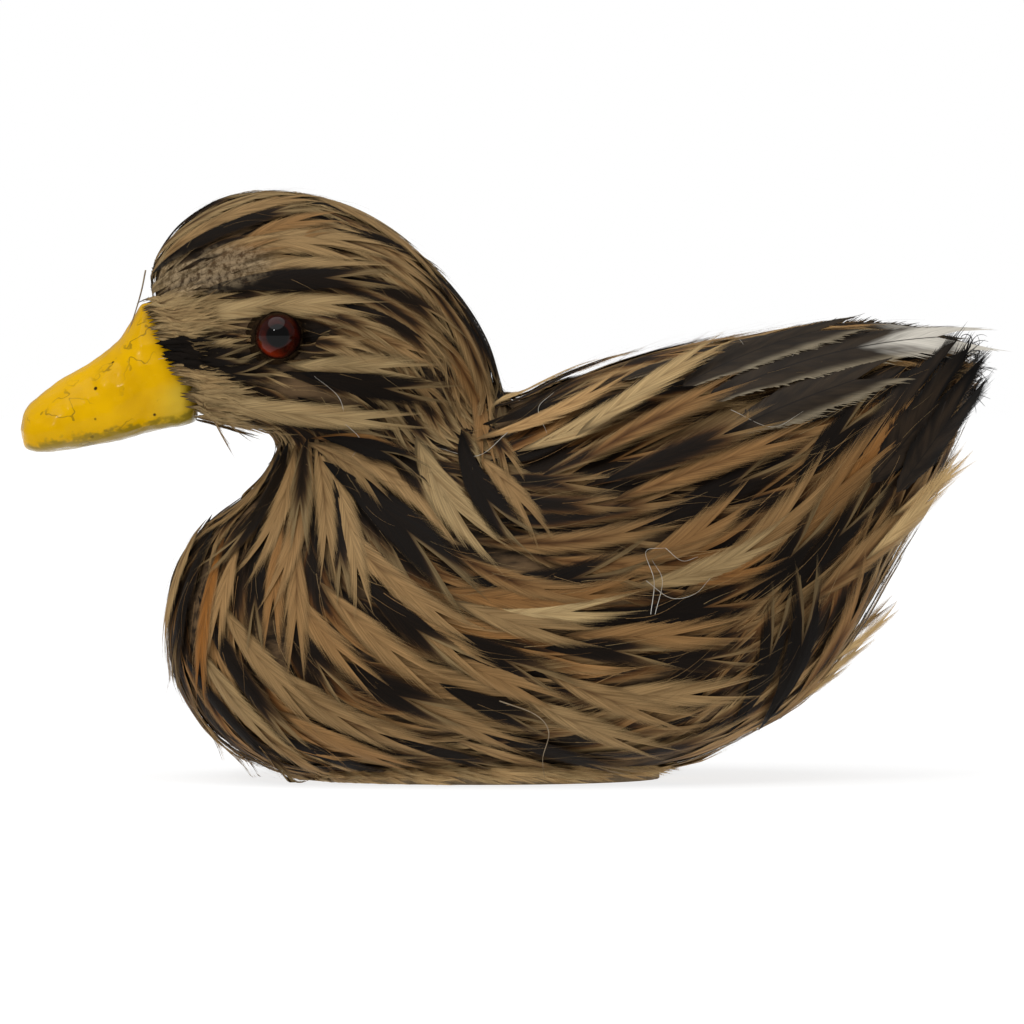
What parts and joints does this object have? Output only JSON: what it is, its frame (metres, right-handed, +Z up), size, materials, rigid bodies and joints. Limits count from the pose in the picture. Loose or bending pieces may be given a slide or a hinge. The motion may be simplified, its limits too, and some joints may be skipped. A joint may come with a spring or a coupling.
{
  "type": "duck decoy",
  "caption": "Ornamental duck decoy: foam head and body covered in natural feathers, with a painted bill and glass eyes, standing on a flat base.",
  "frame": {"origin": "on the floor, at the middle of the whole length and width, under the flat base pad", "axes": "+Z up, +X from bill to tail, +Y towards the duck's right side"},
  "size_m": [0.25, 0.108, 0.1508],
  "materials": {
    "foam": "carved polystyrene foam",
    "wood": "plain dowel",
    "bill_paint": "thick gloss enamel, brushed on",
    "eye_glass": "dark amber glass, polished",
    "pupil": "black enamel disc",
    "wire": "drawn wire",
    "pad": "pale felt",
    "tan_feather": "natural feathers, tan with dark centres",
    "buff_feather": "natural feathers, grey-buff with dark centres",
    "grey_feather": "natural wing feathers, grey-brown with pale edges",
    "dark_feather": "natural tail feathers, dark brown"
  },
  "bodies": {
    "root": {"base_pad": "pad", "belly_feathers_left": "tan_feather", "belly_feathers_right": "tan_feather", "bill": "bill_paint", "bill_peg": "wood", "body_core": "foam", "breast_feathers": "buff_feather", "cheek_feathers_left": "buff_feather", "cheek_feathers_right": "buff_feather", "chin_feathers": "buff_feather", "crown_feathers": "buff_feather", "eye_glass_left": "eye_glass", "eye_glass_right": "eye_glass", "eye_pupil_left": "pupil", "eye_pupil_right": "pupil", "eye_wire_left": "wire", "eye_wire_right": "wire", "flank_feathers_left": "tan_feather", "flank_feathers_right": "tan_feather", "head_core": "foam", "lore_feathers_left": "buff_feather", "lore_feathers_right": "buff_feather", "mantle_feathers": "tan_feather", "nape_feathers": "buff_feather", "neck_dowel": "wood", "neck_side_feathers_left": "buff_feather", "neck_side_feathers_right": "buff_feather", "rump_feathers": "grey_feather", "shoulder_feathers_left": "tan_feather", "shoulder_feathers_right": "tan_feather", "side_feathers_left": "tan_feather", "side_feathers_right": "tan_feather", "tail_base_feathers": "tan_feather", "tail_quill_ridge": "dark_feather", "tail_quill_side_left": "dark_feather", "tail_quill_side_right": "dark_feather", "throat_feathers": "buff_feather", "undertail_feathers": "tan_feather", "vent_feathers_left": "tan_feather", "vent_feathers_right": "tan_feather", "wing_covert_feathers_left": "grey_feather", "wing_covert_feathers_right": "grey_feather", "wing_quill_lower_left": "grey_feather", "wing_quill_lower_right": "grey_feather", "wing_quill_middle_left": "grey_feather", "wing_quill_middle_right": "grey_feather", "wing_quill_upper_left": "grey_feather", "wing_quill_upper_right": "grey_feather"}
  },
  "joints": []
}
